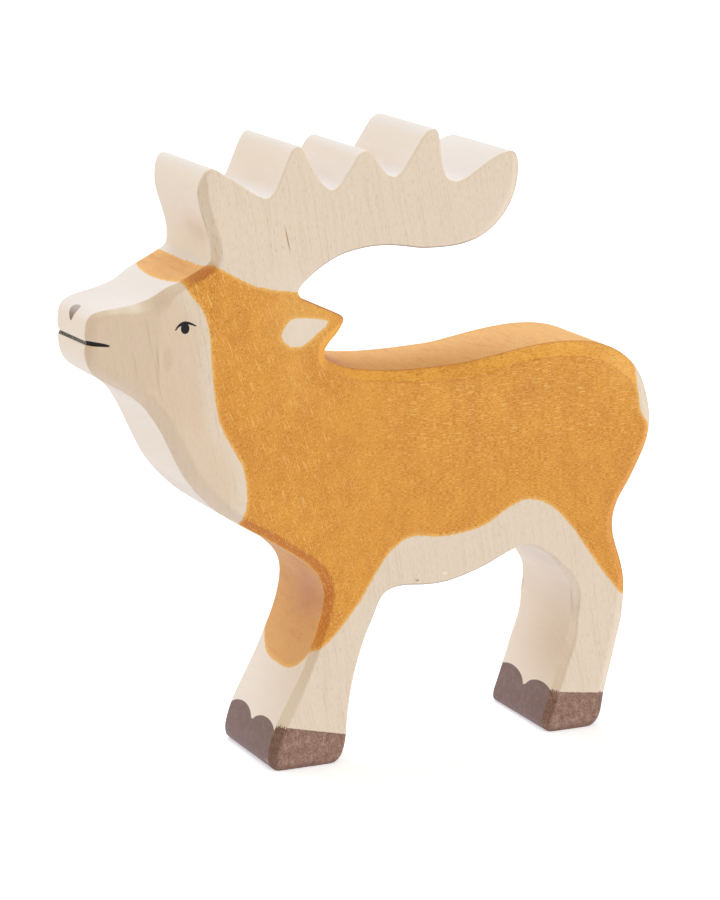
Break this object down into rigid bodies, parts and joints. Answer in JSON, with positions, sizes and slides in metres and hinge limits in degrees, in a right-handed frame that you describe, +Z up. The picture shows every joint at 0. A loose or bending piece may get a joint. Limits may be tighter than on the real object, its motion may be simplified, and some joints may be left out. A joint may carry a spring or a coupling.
{
  "type": "wooden deer figurine",
  "caption": "Standing deer with a broad toothed antler, sawn from one board of pale wood, chamfered by hand and stained, with dark painted hooves.",
  "frame": {"origin": "on the floor, under the middle of the figure's length and of the board's thickness", "axes": "+X towards the tail, the muzzle points along -X; +Y through the board's thickness towards the deer's right side; +Z up"},
  "size_m": [0.1424, 0.03, 0.1488],
  "materials": {
    "wood": "finely sanded, stained over the body, neck and ear, matt"
  },
  "bodies": {
    "root": {"deer": "wood"}
  },
  "joints": []
}
